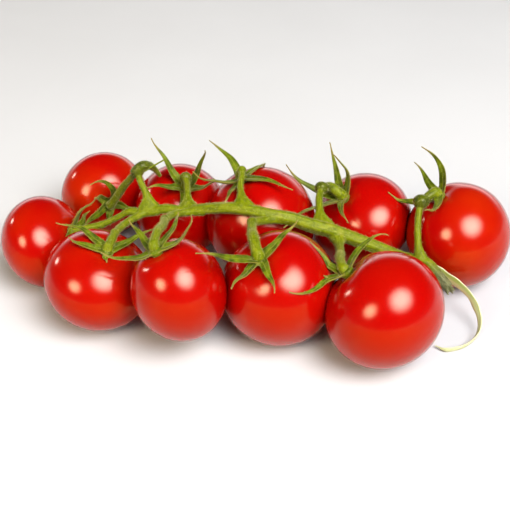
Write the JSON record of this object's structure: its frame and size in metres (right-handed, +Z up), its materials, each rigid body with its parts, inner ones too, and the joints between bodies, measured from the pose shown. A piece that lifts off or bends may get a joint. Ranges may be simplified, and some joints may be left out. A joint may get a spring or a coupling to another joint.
{
  "type": "tomato truss",
  "caption": "Ripe cocktail tomatoes still attached to one green fruiting stem, lying on a table with star-shaped calyces and a torn stem end.",
  "frame": {"origin": "centre of the truss's bounding box, on the surface it rests on", "axes": "+Z up, +X along the truss towards the torn end of its stem, +Y across it towards the fruits that lie behind the stem"},
  "size_m": [0.1774, 0.108, 0.0525],
  "materials": {
    "tomato_skin": "smooth, thin and glossy ripe red skin",
    "calyx_green": "matte green leaf with fine hairs",
    "stem_green": "satin yellow-green stem with fine hairs",
    "peel_cream": "pale torn strip of stem skin"
  },
  "bodies": {
    "root": {"tomato_01": "tomato_skin", "calyx_01": "calyx_green", "tomato_02": "tomato_skin", "calyx_02": "calyx_green", "tomato_03": "tomato_skin", "calyx_03": "calyx_green", "tomato_04": "tomato_skin", "calyx_04": "calyx_green", "tomato_05": "tomato_skin", "calyx_05": "calyx_green", "tomato_06": "tomato_skin", "calyx_06": "calyx_green", "tomato_07": "tomato_skin", "calyx_07": "calyx_green", "tomato_08": "tomato_skin", "calyx_08": "calyx_green", "tomato_09": "tomato_skin", "calyx_09": "calyx_green", "tomato_10": "tomato_skin", "calyx_10": "calyx_green", "stem": "stem_green", "stem_peel": "peel_cream"}
  },
  "joints": []
}
